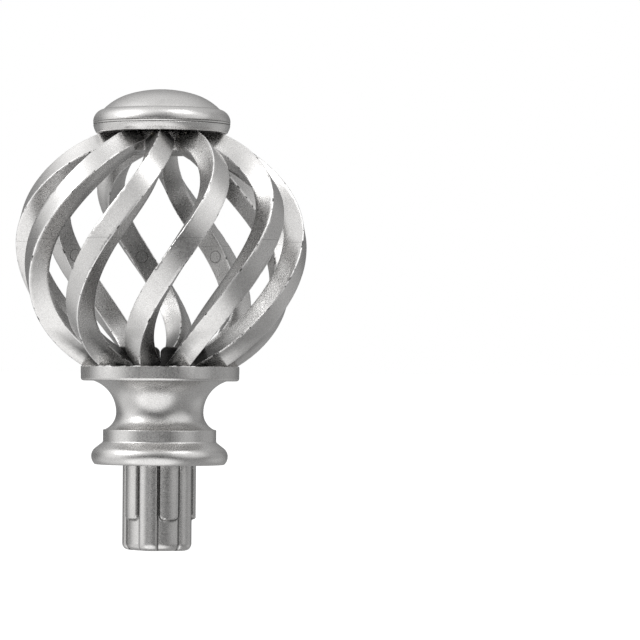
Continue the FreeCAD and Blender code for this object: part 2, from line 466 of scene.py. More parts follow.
@dataclass(frozen=True)
class Glue:
    """Clear glue that was squeezed out of a joint."""

    name: str
    amber: tuple = (0.05, 0.045, 0.03)
    clear: tuple = (0.16, 0.15, 0.11)
    cloud_per_m: float = 700.0
    cloud_low: float = 0.35
    cloud_high: float = 0.65
    roughness: float = 0.12
    coat: float = 0.6

    def build(self) -> bpy.types.Material:
        """Makes the material.

        Returns:
            The glossy glue.
        """
        bench = NodeBench(self.name)
        shader = bench.node("ShaderNodeBsdfPrincipled")
        tone = bench.remap(bench.noise(self.cloud_per_m), self.cloud_low, self.cloud_high, 0.0, 1.0)
        bench.join(bench.shade(tone, self.amber, self.clear), shader.inputs["Base Color"])
        shader.inputs["Roughness"].default_value = self.roughness
        shader.inputs["Coat Weight"].default_value = self.coat
        bench.join(shader.outputs["BSDF"], bench.output.inputs["Surface"])
        return bench.material


# Mesh helpers


def finish_piece(
    name: str, bm: bmesh.types.BMesh, finishes: list, replaces: tuple = (), sharp: float = 38.0
) -> bpy.types.Object:
    """Turns a bmesh into a dressed piece that rides on the part.

    Args:
        name: The piece's name.
        bm: Its shape, which is freed.
        finishes: Its materials, in the order of Surface.
        replaces: CAD nodes that it stands for.
        sharp: Edges steeper than this many degrees are shaded sharp.

    Returns:
        The piece, at the origin.
    """
    bmesh.ops.remove_doubles(bm, verts=bm.verts, dist=1e-7)
    mesh = bpy.data.meshes.new(name)
    bm.to_mesh(mesh)
    bm.free()
    for finish in finishes:
        mesh.materials.append(finish)
    mesh.shade_smooth()
    mesh.set_sharp_from_angle(angle=math.radians(sharp))
    piece = bpy.data.objects.new(name, mesh)
    bpy.context.scene.collection.objects.link(piece)
    weighted = piece.modifiers.new("weighted_normals", "WEIGHTED_NORMAL")
    weighted.keep_sharp = True
    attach(piece, BODY)
    if replaces:
        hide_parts(*replaces)
    log.info("%s: %d faces", name, len(mesh.polygons))
    return piece


def add_turned_copies(bm: bmesh.types.BMesh, count: int) -> None:
    """Repeats all that a bmesh holds evenly about the pole's axis.

    Args:
        bm: The bmesh, which gets the copies.
        count: How many there are in the end.
    """
    first = bm.verts[:] + bm.edges[:] + bm.faces[:]
    for index in range(1, count):
        made = bmesh.ops.duplicate(bm, geom=first)["geom"]
        verts = [item for item in made if isinstance(item, bmesh.types.BMVert)]
        turn = Matrix.Rotation(index * math.tau / count, 3, "Z")
        bmesh.ops.rotate(bm, verts=verts, cent=(0, 0, 0), matrix=turn)


def join_into(target: bmesh.types.BMesh, source: bmesh.types.BMesh) -> None:
    """Adds one bmesh to another.

    Args:
        target: The bmesh that grows.
        source: The bmesh that is added, and freed.
    """
    mesh = bpy.data.meshes.new("joining")
    source.to_mesh(mesh)
    source.free()
    target.from_mesh(mesh)
    bpy.data.meshes.remove(mesh)


class Profile:
    """Half outline of a turned piece, drawn from point to point in the XZ plane."""

    def __init__(self, radius: float, level: float) -> None:
        """Starts the outline.

        Args:
            radius: Distance from the axis.
            level: Height.
        """
        self.bm = bmesh.new()
        self.end = self.bm.verts.new((radius, 0, level))

    def to(self, radius: float, level: float) -> "Profile":
        """Draws a straight run.

        Args:
            radius: Its end's distance from the axis.
            level: Its end's height.

        Returns:
            This outline.
        """
        new = self.bm.verts.new((radius, 0, level))
        self.bm.edges.new((self.end, new))
        self.end = new
        return self

    def bend(self, radius: float, level: float, degrees: float, steps: int) -> "Profile":
        """Draws an arc about a centre.

        Args:
            radius: The centre's distance from the axis.
            level: The centre's height.
            degrees: Turn, positive from +X towards +Z.
            steps: Runs in the arc.

        Returns:
            This outline.
        """
        made = bmesh.ops.spin(
            self.bm, geom=[self.end], cent=(radius, 0, level), axis=(0, -1, 0),
            angle=math.radians(degrees), steps=steps, use_merge=False,
        )
        self.end = [item for item in made["geom_last"] if isinstance(item, bmesh.types.BMVert)][0]
        return self

    def spin(self, steps: int) -> bmesh.types.BMesh:
        """Turns the outline about the axis into a closed skin.

        Args:
            steps: Faces round the axis.

        Returns:
            The bmesh, with its poles merged and its faces pointing outwards.
        """
        edges = self.bm.edges[:]
        bmesh.ops.spin(
            self.bm, geom=self.bm.verts[:] + edges, cent=(0, 0, 0), axis=(0, 0, 1),
            angle=math.tau, steps=steps, use_merge=True,
        )
        bmesh.ops.remove_doubles(self.bm, verts=self.bm.verts, dist=1e-6)
        bmesh.ops.recalc_face_normals(self.bm, faces=self.bm.faces)
        return self.bm


# Base


@dataclass
class BaseMoulding:
    """Ribbed spigot, ogee flange, band, waisted neck and collar, as one moulding."""

    spin_steps: int = 220
    spigot_length: float = 25.6 * MM
    spigot_radius: float = 11.0 * MM
    floor_drop: float = 1.2 * MM
    end_round: float = 2.0 * MM
    sectors: int = 5
    lobe_angle: float = -19.3
    lobe_width: float = 6.4 * MM
    lobe_crown: float = 0.75 * MM
    pad_turn: float = 36.3
    pad_crown: float = 0.3 * MM
    pad_width: float = 6.4 * MM
    pad_length: float = 16.4 * MM
    pad_corner: float = 1.6 * MM
    rib_round: float = 0.36 * MM
    rib_flare: float = 0.6
    crevice_core: float = 0.1 * MM
    crevice_width: float = 0.42 * MM
    spigot_overlap: float = 1.0 * MM
    spigot_steps: int = 400
    spigot_rows: int = 84
    flange_radius: float = 20.5 * MM
    foot_round: float = 0.6 * MM
    under_round: float = 3.4 * MM
    swell_level: float = 2.5 * MM
    swell_round: float = 3.1 * MM
    swell_turn: float = 52.0
    band_foot_round: float = 0.8 * MM
    band_radius: float = 17.0 * MM
    band_top: float = 10.5 * MM
    band_edge: float = 0.3 * MM
    neck_radius: float = 13.1 * MM
    neck_level: float = 15.6 * MM
    neck_lower_round: float = 5.6 * MM
    neck_upper_round: float = 9.9 * MM
    collar_radius: float = 23.8 * MM
    collar_bottom: float = 25.05 * MM
    collar_top: float = 29.5 * MM
    collar_round: float = 0.9 * MM
    collar_edge: float = 0.22 * MM
    lip_width: float = 0.5 * MM
    lip_height: float = 0.3 * MM
    lip_deepest: float = -0.5
    lip_calm: float = 0.3
    lip_front: float = 42.0
    lip_fade: float = 15.0
    lip_waves_per_m: float = 700.0
    lip_fine_share: float = 0.6
    lip_seed: int = 3

    def flange_outline(self) -> Profile:
        """Draws the underside, the foot, the swell and the slope up to the band.

        Returns:
            The outline, which ends at the foot of the band.
        """
        arm = self.under_round - self.foot_round
        under_turn = math.degrees(math.asin((self.swell_level - self.foot_round) / arm))
        under_centre = self.flange_radius - self.under_round
        foot_centre = under_centre + arm * math.cos(math.radians(under_turn))
        turn = math.radians(self.swell_turn)
        swell_centre = self.flange_radius - self.swell_round
        swell_end = swell_centre + self.swell_round * math.cos(turn)
        slope_end = self.band_radius + self.band_foot_round * (1 - math.cos(turn))
        slope_top = self.swell_level + self.swell_round * math.sin(turn)
        slope_top += (swell_end - slope_end) / math.tan(turn)
        foot_level = slope_top + self.band_foot_round * math.sin(turn)
        outline = Profile(0, 0).to(foot_centre, 0)
        outline.bend(foot_centre, self.foot_round, 90 - under_turn, 5)
        outline.bend(under_centre, self.swell_level, under_turn, 10)
        outline.bend(swell_centre, self.swell_level, self.swell_turn, 18)
        outline.to(slope_end, slope_top)
        return outline.bend(self.band_radius + self.band_foot_round, foot_level, -self.swell_turn, 8)

    def turned_body(self) -> bmesh.types.BMesh:
        """Turns flange, band, neck and collar.

        Returns:
            The body's closed skin.
        """
        lower_rise = self.neck_level - self.band_top
        lower_turn = math.degrees(math.asin(lower_rise / self.neck_lower_round))
        upper_rise = self.collar_bottom - self.neck_level
        upper_turn = math.degrees(math.asin(upper_rise / self.neck_upper_round))
        lower_centre = self.neck_radius + self.neck_lower_round
        upper_centre = self.neck_radius + self.neck_upper_round
        cove_start = lower_centre - self.neck_lower_round * math.cos(math.radians(lower_turn))
        collar_in = self.collar_radius - self.collar_round
        outline = self.flange_outline()
        outline.to(self.band_radius, self.band_top - self.band_edge)
        outline.bend(self.band_radius - self.band_edge, self.band_top - self.band_edge, 90, 4)
        outline.to(cove_start, self.band_top)
        outline.bend(lower_centre, self.neck_level, -lower_turn, 14)
        outline.bend(upper_centre, self.neck_level, -upper_turn, 22)
        outline.to(collar_in, self.collar_bottom)
        outline.bend(collar_in, self.collar_bottom + self.collar_round, 90, 6)
        outline.to(self.collar_radius, self.collar_top - self.collar_edge)
        outline.to(self.collar_radius - self.collar_edge, self.collar_top)
        outline.to(0, self.collar_top)
        return outline.spin(self.spin_steps)

    def relief(self, place: Vector) -> tuple:
        """Shapes the spigot's skin into lobes and pads above a lower floor.

        Args:
            place: A place on the plain cylinder.

        Returns:
            The skin's radius there, and how deep in a crevice it lies, from 0 to 1.
        """
        degrees = math.degrees(math.atan2(place.x, -place.y))
        pitch = 360.0 / self.sectors
        raised = 0.0
        crevice = 0.0
        pad_angle = self.lobe_angle + self.pad_turn
        for first, width, length, corner, crown in (
            (self.lobe_angle, self.lobe_width, self.spigot_length * 2, 0.0, self.lobe_crown),
            (pad_angle, self.pad_width, self.pad_length, self.pad_corner, self.pad_crown),
        ):
            offset = (degrees - first + pitch / 2) % pitch - pitch / 2
            across = abs(math.radians(offset)) * self.spigot_radius
            along = -place.z
            corner_x = max(across - (width / 2 - corner), 0.0)
            corner_z = max(along - (length - corner), 0.0)
            beyond = math.hypot(corner_x, corner_z) - corner if corner else across - width / 2
            step = 1.0 - ease(-self.rib_round, self.rib_round * self.rib_flare, beyond)
            fall = crown / self.floor_drop * min(across / (width / 2), 1.0) ** 2
            raised = max(raised, step * (1.0 - fall))
            from_foot = abs(beyond - self.rib_round * self.rib_flare / 2)
            crevice = max(crevice, 1.0 - ease(self.crevice_core, self.crevice_width, from_foot))
        radius = self.spigot_radius - self.floor_drop * (1 - raised)
        rise = place.z + self.spigot_length
        if rise < self.end_round:
            cut = self.end_round - rise
            radius -= self.end_round - math.sqrt(max(self.end_round ** 2 - cut ** 2, 0.0))
        return radius, crevice

    def spigot(self) -> bmesh.types.BMesh:
        """Presses the lobes and pads out of a fine cylinder.

        Returns:
            The spigot's closed skin, running a little way up into the flange.
        """
        height = self.spigot_length + self.spigot_overlap
        bm = bmesh.new()
        bmesh.ops.create_cone(
            bm, cap_ends=True, segments=self.spigot_steps, radius1=self.spigot_radius,
            radius2=self.spigot_radius, depth=height,
            matrix=Matrix.Translation((0, 0, self.spigot_overlap - height / 2)),
        )
        rising = [e for e in bm.edges if abs(e.verts[0].co.z - e.verts[1].co.z) > height / 2]
        bmesh.ops.subdivide_edges(bm, edges=rising, cuts=self.spigot_rows)
        # Each vertex keeps how deep in a crevice it lies, which the paint darkens as painted shade.
        shade = bm.verts.layers.float.new(CREVICE_SHADE)
        for vert in bm.verts:
            radius, vert[shade] = self.relief(vert.co)
            flat = Vector((vert.co.x, vert.co.y, 0)).normalized() * radius
            vert.co = flat + UP * vert.co.z
        bmesh.ops.recalc_face_normals(bm, faces=bm.faces)
        return bm

    def rough_lip(self, bm: bmesh.types.BMesh) -> None:
        """Leaves ragged flash on the collar's top edge, highest at the front.

        Args:
            bm: The turned body, whose rim is moved.
        """
        shift = Vector((self.lip_seed,) * 3)
        for face in bm.faces:
            centre = face.calc_center_median()
            outside = centre.xy.length > self.collar_radius - self.collar_edge
            if outside and centre.z > self.collar_top - self.collar_edge:
                face.material_index = Surface.EDGE.value
        for vert in bm.verts:
            on_top = vert.co.z > self.collar_top - self.collar_edge / 2
            if on_top and vert.co.xy.length > self.collar_radius - self.lip_width:
                from_front = abs(math.degrees(math.atan2(vert.co.x, -vert.co.y)))
                calm = ease(self.lip_front, self.lip_front + self.lip_fade, from_front)
                height = self.lip_height * (1 - (1 - self.lip_calm) * calm)
                waves = vert.co * self.lip_waves_per_m
                ragged = noise.noise(waves + shift)
                ragged += self.lip_fine_share * noise.noise(waves * 3 + shift)
                vert.co.z += height * max(ragged, self.lip_deepest)

    def build(self, finishes: list) -> bpy.types.Object:
        """Makes the base.

        Args:
            finishes: Its materials.

        Returns:
            The piece.
        """
        bm = self.turned_body()
        bm.verts.layers.float.new(CREVICE_SHADE)
        self.rough_lip(bm)
        join_into(bm, self.spigot())
        return finish_piece("base_moulding", bm, finishes, ("base",))


# Cage


@dataclass
class TwistedBar:
    """Line, roll and section of one square bar that climbs round the ball."""

    foot_level: float
    top_level: float
    count: int = 10
    radius: float = 43.4 * MM
    centre_share: float = 0.523
    overrun_top: float = 1.3 * MM
    overrun_foot: float = 4.4 * MM
    least_closing: float = 0.01
    width: float = 6.5 * MM
    width_loss: float = 0.7 * MM
    depth: float = 6.1 * MM
    depth_gain: float = 0.6 * MM
    start_angle: float = 10.0
    sweep: float = 65.2
    sweep_easing: float = 0.05
    mid_shift: float = 0.9
    tip_turn: float = 3.0
    tip_sharpness: int = 8
    roll_middle: float = -5.0
    roll_foot: float = -40.0
    roll_top: float = 51.0
    roll_rate: float = 27.7
    gap_foot: float = 0.5 * MM
    gap_top: float = 1.0 * MM
    run_on: float = 5.0 * MM
    stations: int = 150
    corner: float = 0.28 * MM
    corner_steps: int = 3
    side_cuts: int = 7
    corner_reach: float = 0.9
    burr: float = 0.1 * MM
    burrs_per_m: float = 520.0
    fine_burr_scale: float = 2.7
    fine_burr_share: float = 0.7
    slope_step: float = 0.002

    def span(self) -> tuple:
        """Lowest and highest level of the bar's line."""
        return self.foot_level - self.gap_foot, self.top_level + 2 * self.gap_top

    def centre_level(self) -> float:
        """Level at which the ball is widest."""
        return self.foot_level + (self.top_level - self.foot_level) * self.centre_share

    def last_share(self) -> float:
        """Share at which the line passes just under the cap."""
        low, high = self.span()
        return 2 * (self.top_level - self.gap_top - low) / (high - low) - 1

    def outline(self, share: float) -> tuple:
        """Line of the outer face.

        Args:
            share: Place along the bar, from -1 at the foot to +1 at the top.

        Returns:
            The line's radius, level and angle there.
        """
        low, high = self.span()
        level = (low + high) / 2 + share * (high - low) / 2
        centre = self.centre_level()
        above = level - centre
        reach = (
            self.top_level - centre + self.overrun_top
            if above > 0
            else centre - self.foot_level + self.overrun_foot
        )
        radius = self.radius * math.sqrt(max(1 - (above / reach) ** 2, self.least_closing))
        eased = share * (1 + self.sweep_easing) - self.sweep_easing * share ** 3
        degrees = self.start_angle + self.sweep / 2 * eased + self.mid_shift * share ** 2
        degrees += self.tip_turn * max(share, 0.0) ** self.tip_sharpness
        return radius, level, degrees

    def roll(self, share: float) -> float:
        """Works out the bar's turn about its own line.

        Args:
            share: Place along the bar.

        Returns:
            The turn in degrees.
        """
        even = (self.roll_top + self.roll_foot) / 2 - self.roll_middle
        cubic = (self.roll_top - self.roll_foot) / 2 - self.roll_rate
        return self.roll_middle + self.roll_rate * share + even * share ** 2 + cubic * share ** 3

    def axes(self, share: float) -> tuple:
        """Works out how the bar lies.

        Args:
            share: Place along the bar.

        Returns:
            The place, the direction of travel, the outer face's normal and the width's direction.
        """
        step = self.slope_step
        here = self.at(share)
        travel = (self.at(share + step) - self.at(share - step)).normalized()
        low, high = self.outline(share - step), self.outline(share + step)
        outward = polar(1.0, self.outline(share)[2], 0)
        normal = (outward * (high[1] - low[1]) - UP * (high[0] - low[0])).normalized()
        across = travel.cross(normal).normalized()
        lean = Matrix.Rotation(math.radians(self.roll(share)), 3, travel)
        return here, travel, lean @ normal, lean @ across

    def at(self, share: float) -> Vector:
        """Middle of the bar's outer face."""
        radius, level, degrees = self.outline(share)
        return polar(radius, degrees, level)

    def section(self, bm: bmesh.types.BMesh) -> bmesh.types.BMFace:
        """Makes the bar's section flat at the origin: width along X, depth along -Y.

        Args:
            bm: Where it is made.

        Returns:
            A rectangle with rounded corners, its outer side on the X axis.
        """
        verts = bmesh.ops.create_grid(bm, x_segments=1, y_segments=1, size=0.5)["verts"]
        bmesh.ops.scale(bm, verts=verts, vec=(self.width, self.depth, 1))
        bmesh.ops.translate(bm, verts=verts, vec=(0, -self.depth / 2, 0))
        bmesh.ops.bevel(
            bm, geom=verts, offset=self.corner, offset_type="OFFSET", affect="VERTICES",
            segments=self.corner_steps, profile=0.5, material=-1,
        )
        sides = [edge for edge in bm.edges if edge.calc_length() > self.depth / 2]
        bmesh.ops.subdivide_edges(bm, edges=sides, cuts=self.side_cuts)
        return bm.faces[:][0]

    def placed(self, flat: Vector, share: float, run: float) -> Vector:
        """Place on the bar of a point of its flat section.

        Args:
            flat: The point of the section.
            share: Place along the bar.
            run: Distance past that place along the bar's own direction.

        Returns:
            The place, with small burrs along the rounded corners.
        """
        here, travel, normal, across = self.axes(share)
        wide = 1 - self.width_loss / self.width * share ** 2
        deep = 1 + self.depth_gain / self.depth * share ** 2
        place = here + travel * run + across * flat.x * wide + normal * flat.y * deep
        from_side = self.width / 2 - abs(flat.x)
        if from_side < self.corner * self.corner_reach and -flat.y < self.corner / self.corner_reach:
            waves = place * self.burrs_per_m
            ragged = noise.noise(waves)
            ragged += self.fine_burr_share * noise.noise(waves * self.fine_burr_scale)
            place -= (across * math.copysign(1, flat.x) + normal) * self.burr * max(ragged, 0.0)
        return place

    def loft(self) -> bmesh.types.BMesh:
        """Extrudes the section along the whole bar and marks its rounded corners as worn edge.

        Returns:
            The closed bar.
        """
        bm = bmesh.new()
        end = self.section(bm)
        ring = end.verts[:]
        flats = [vert.co.copy() for vert in ring]
        last = self.last_share()
        places = [((last + 1) * number / self.stations - 1, 0.0) for number in range(self.stations + 1)]
        for vert, flat in zip(ring, flats):
            vert.co = self.placed(flat, -1.0, -self.run_on)
        for number, (share, run) in enumerate(places + [(last, self.run_on)]):
            before = end
            made = bmesh.ops.extrude_face_region(bm, geom=[end])["geom"]
            end = [item for item in made if isinstance(item, bmesh.types.BMFace)][0]
            ring = [self.partner(vert, end) for vert in ring]
            if number:
                bmesh.ops.delete(bm, geom=[before], context="FACES_ONLY")
            for vert, flat in zip(ring, flats):
                vert.co = self.placed(flat, share, run)
        for face in bm.faces:
            narrow = min(edge.calc_length() for edge in face.edges) < self.corner
            if narrow and len(face.verts) == 4:
                face.material_index = Surface.EDGE.value
        bmesh.ops.recalc_face_normals(bm, faces=bm.faces)
        return bm

    @staticmethod
    def partner(vert: bmesh.types.BMVert, face: bmesh.types.BMFace) -> bmesh.types.BMVert:
        """Corner of a newly extruded face that grew out of a corner of the last one."""
        return [e.other_vert(vert) for e in vert.link_edges if e.other_vert(vert) in face.verts][0]


@dataclass
class CageHalf:
    """Half of the open ball: ten bars, cut at the joint, and the hub that they meet in."""

    bar: TwistedBar
    name: str
    node: str
    bottom: float
    top: float
    hub_radius: float
    hub_skirt: float
    hub_bottom: float
    hub_top: float
    hub_edge: float = 0.25 * MM
    hub_rings: int = 26
    hub_steps: int = 90
    mark_radius: float = 1.9 * MM
    mark_thickness: float = 0.2 * MM
    mark_proud: float = 0.02 * MM
    mark_groove: float = 0.15 * MM
    mark_sunk: float = 0.72
    mark_steps: int = 40
    mark_drop: float = 3.4 * MM
    cut_snap: float = 0.06 * MM
    shoulder_round: float = 0.0
    slot_width: float = 0.16 * MM
    slot_depth: float = 1.5 * MM
    has_marks: bool = False

    def cut(self, bm: bmesh.types.BMesh, level: float, keep_above: bool) -> None:
        """Cuts a bar level and closes it.

        Args:
            bm: The bar.
            level: Height of the cut.
            keep_above: Whether the part above the cut stays.
        """
        everything = bm.verts[:] + bm.edges[:] + bm.faces[:]
        cut = bmesh.ops.bisect_plane(
            bm, geom=everything, dist=self.cut_snap, use_snap_center=True, plane_co=(0, 0, level),
            plane_no=(0, 0, 1), clear_inner=keep_above, clear_outer=not keep_above,
        )["geom_cut"]
        rim = [item for item in cut if isinstance(item, bmesh.types.BMEdge)]
        bmesh.ops.contextual_create(bm, geom=rim)

    def mark(self, share: float) -> bmesh.types.BMesh:
        """Round mark that a mould's pin left on the inner face of a bar.

        Args:
            share: Place along the bar.

        Returns:
            A thin disc with a groove round it, standing barely proud of the face.
        """
        here, _, normal, across = self.bar.axes(share)
        centre = here - normal * (self.bar.depth + self.mark_proud)
        bm = bmesh.new()
        bmesh.ops.create_cone(
            bm, cap_ends=True, segments=self.mark_steps, radius1=self.mark_radius,
            radius2=self.mark_radius, depth=self.mark_thickness,
        )
        ends = [face for face in bm.faces if len(face.verts) > 4]
        ring = bmesh.ops.inset_region(bm, faces=ends, thickness=self.mark_groove)["faces"]
        rims = {vert for face in ring for vert in face.verts}
        for vert in rims:
            if vert.co.xy.length < self.mark_radius - self.mark_groove / 2:
                vert.co.z *= self.mark_sunk
        # The groove's ring is painted near-black as shade.
        for face in ring:
            face.material_index = Surface.GROOVE_SHADE.value
        frame = Matrix((across, normal.cross(across), normal)).transposed().to_4x4()
        frame.translation = centre
        bmesh.ops.transform(bm, matrix=frame, verts=bm.verts)
        return bm

    def hub(self) -> bmesh.types.BMesh:
        """Turns the hub's disc and parts its free face between the bars' feet.

        Returns:
            The hub's closed skin.
        """
        edge = self.hub_edge
        outline = Profile(0, self.hub_bottom).to(self.hub_skirt - edge, self.hub_bottom)
        outline.to(self.hub_skirt, self.hub_bottom + edge).to(self.hub_radius, self.hub_top - edge)
        for ring in range(self.hub_rings):
            outline.to((self.hub_radius - edge) * (1 - ring / self.hub_rings), self.hub_top)
        bm = outline.to(0, self.hub_top).spin(self.hub_steps)
        if self.shoulder_round:
            for vert in bm.verts:
                if vert.co.z > self.hub_top - 2 * edge:
                    vert.co.z -= self.groove_depth(vert.co)
        return bm

    def groove_depth(self, place: Vector) -> float:
        """Works out the grooves between the feet: rounded shoulders down to a narrow slot.

        Args:
            place: A place on the hub's top.

        Returns:
            The groove's depth there.
        """
        pitch = 360.0 / self.bar.count
        degrees = math.degrees(math.atan2(place.x, -place.y))
        from_gap = abs((degrees + pitch / 2) % pitch - pitch / 2)
        away = math.hypot(place.x, place.y) * math.sin(math.radians(from_gap))
        beyond = max(self.shoulder_round - away, 0.0)
        depth = self.shoulder_round - math.sqrt(max(self.shoulder_round ** 2 - beyond ** 2, 0.0))
        return depth + (self.slot_depth if away < self.slot_width / 2 else 0.0)

    def build(self, finishes: list) -> bpy.types.Object:
        """Makes the half cage.

        Args:
            finishes: Its materials.

        Returns:
            The piece.
        """
        bm = self.bar.loft()
        self.cut(bm, self.bottom, True)
        self.cut(bm, self.top, False)
        bmesh.ops.recalc_face_normals(bm, faces=bm.faces)
        if self.has_marks:
            low, high = self.bar.span()
            share = 2 * (self.top - self.mark_drop - low) / (high - low) - 1
            join_into(bm, self.mark(share))
        add_turned_copies(bm, self.bar.count)
        join_into(bm, self.hub())
        return finish_piece(self.name, bm, finishes, (self.node,))


# Cap


@dataclass
class Cap:
    """Domed cap with a rolled rim, a fine double groove and a crease under the dome."""

    bottom: float
    rim_radius: float = 20.6 * MM
    rim_height: float = 3.25 * MM
    lower_bulge: float = 1.55
    under_recess: float = 0.3 * MM
    foot_flat: float = 0.2 * MM
    foot_slope: float = 0.4 * MM
    foot_lean: float = 0.3
    foot_round: float = 0.5 * MM
    rim_round: float = 3.8 * MM
    crease_radius: float = 17.8 * MM
    crease_groove: float = 0.12 * MM
    dome_rise: float = 6.08 * MM
    crown_round: float = 34.0 * MM
    crown_width: float = 10.2 * MM
    groove_depth: float = 0.12 * MM
    groove_half: float = 0.16 * MM
    groove_gap: float = 0.75 * MM
    spin_steps: int = 220

    def outline(self) -> Profile:
        """Draws the cap's half outline.

        Returns:
            The outline, from the underside's centre to the crown.
        """
        widest = self.bottom + self.rim_height
        lower_round = self.lower_bulge * self.rim_height
        lower_level = widest - self.groove_half
        drop = lower_level - self.bottom - self.foot_round
        lower_turn = math.degrees(math.asin(drop / lower_round))
        lower_end = self.rim_radius - lower_round * (1 - math.cos(math.radians(lower_turn)))
        foot = lower_end - self.foot_round
        under = Profile(0, self.bottom + self.under_recess)
        under.to(foot - self.foot_flat - self.foot_slope, self.bottom + self.under_recess)
        under.to(foot - self.foot_flat, self.bottom).to(foot, self.bottom)
        under.bend(foot, self.bottom + self.foot_round, 90 - lower_turn * self.foot_lean, 5)
        under.to(lower_end, self.bottom + self.foot_round)
        upper_groove = math.degrees(math.asin(self.groove_gap / lower_round))
        under.bend(self.rim_radius - lower_round, lower_level, lower_turn - upper_groove, 14)
        shallow = self.rim_radius - lower_round * (1 - math.cos(math.radians(upper_groove)))
        level = lower_level - self.groove_gap
        under.to(shallow - self.groove_depth, level + self.groove_half)
        under.to(shallow, level + 2 * self.groove_half).to(self.rim_radius, lower_level)
        roll_level = widest + self.groove_half
        under.to(self.rim_radius - self.groove_depth, widest).to(self.rim_radius, roll_level)
        roll_centre = self.rim_radius - self.rim_round
        roll_turn = math.degrees(math.acos((self.crease_radius - roll_centre) / self.rim_round))
        under.bend(roll_centre, roll_level, roll_turn, 20)
        groove = self.crease_groove
        crease = self.crease_level()
        under.to(self.crease_radius - groove, crease - groove * 0.6)
        shoulder = Vector((self.crease_radius - 2 * groove, 0, crease + groove * 0.3))
        return self.dome(under.to(shoulder.x, shoulder.z), shoulder)

    def crease_level(self) -> float:
        """Height at which the rim's roll ends under the dome."""
        turn = math.acos((self.crease_radius - self.rim_radius + self.rim_round) / self.rim_round)
        return self.bottom + self.rim_height + self.groove_half + self.rim_round * math.sin(turn)

    def dome(self, outline: Profile, crease: Vector) -> Profile:
        """Adds the dome's shoulder and crown, tangent to each other.

        Args:
            outline: The outline so far, which ends at the crease.
            crease: Place of its end.

        Returns:
            The finished outline.
        """
        crown = crease.z + self.dome_rise
        centre = Vector((0, 0, crown - self.crown_round))
        turn = math.acos(self.crown_width / self.crown_round)
        outward = Vector((math.cos(turn), 0, math.sin(turn)))
        joint = centre + outward * self.crown_round
        chord = joint - crease
        shoulder_round = chord.dot(chord) / (2 * outward.dot(chord))
        shoulder = joint - outward * shoulder_round
        first = math.degrees(math.atan2(crease.z - shoulder.z, crease.x - shoulder.x))
        outline.bend(shoulder.x, shoulder.z, math.degrees(turn) - first, 16)
        outline.bend(0, centre.z, 90 - math.degrees(turn), 22)
        return outline

    def in_line(self, centre: Vector) -> bool:
        """Finds the faces painted as shade: the dark half of each groove and the crease under the dome.

        Args:
            centre: A face's centre.

        Returns:
            Whether the face lies in one of them.
        """
        widest = self.bottom + self.rim_height
        second = widest - self.groove_half - self.groove_gap
        radius = centre.xy.length
        if radius > self.crease_radius + self.crease_groove:
            upper = widest - self.groove_half < centre.z < widest
            return upper or second + self.groove_half < centre.z < second + 2 * self.groove_half
        outside = radius > self.crease_radius - 1.1 * self.crease_groove
        return outside and abs(centre.z - self.crease_level()) < self.crease_groove

    def build(self, finishes: list) -> bpy.types.Object:
        """Makes the cap.

        Args:
            finishes: Its materials.

        Returns:
            The piece.
        """
        bm = self.outline().spin(self.spin_steps)
        # The grooves' dark halves and the crease are painted near-black as shade.
        for face in bm.faces:
            if self.in_line(face.calc_center_median()):
                face.material_index = Surface.GROOVE_SHADE.value
        return finish_piece("cap_moulding", bm, finishes, ("cap",), 30.0)


@dataclass
class GlueBeads:
    """Beads of glue that were squeezed out between the ball's top and the cap.

    Each is given by its distance from the axis, bearing, level and size.
    """

    beads: tuple = (
        (15.7 * MM, -11.0, 98.4 * MM, 0.5 * MM),
        (15.8 * MM, -8.5, 97.5 * MM, 0.42 * MM),
        (15.6 * MM, -10.2, 96.6 * MM, 0.55 * MM),
        (15.7 * MM, -7.6, 95.6 * MM, 0.34 * MM),
        (15.5 * MM, -11.5, 95.2 * MM, 0.3 * MM),
        (15.8 * MM, 18.4, 97.4 * MM, 0.34 * MM),
        (15.6 * MM, 19.3, 96.0 * MM, 0.28 * MM),
        (17.5 * MM, 23.5, 98.6 * MM, 0.3 * MM),
    )
    uneven: float = 0.35
    lumps_per_m: float = 900.0

    def build(self, finishes: list) -> bpy.types.Object:
        """Makes the beads.

        Args:
            finishes: Their material.

        Returns:
            The piece.
        """
        bm = bmesh.new()
        for radius, bearing, level, size in self.beads:
            centre = polar(radius, bearing, level)
            made = bmesh.ops.create_icosphere(
                bm, subdivisions=3, radius=size, matrix=Matrix.Translation(centre)
            )["verts"]
            for vert in made:
                lump = 1 + self.uneven * noise.noise(vert.co * self.lumps_per_m)
                vert.co = centre + (vert.co - centre) * lump
        return finish_piece("glue_beads", bm, finishes)


# Studio


@dataclass(frozen=True)
class Glow:
    """Soft patch of light in the room: where it is, how wide and how strong."""

    bearing: float
    rise: float
    core: float
    edge: float
    strength: float


@dataclass(frozen=True)
class SoftBox:
    """Soft lamp: its name, place, width, height and watts."""

    name: str
    place: tuple
    width: float
    height: float
    power: float


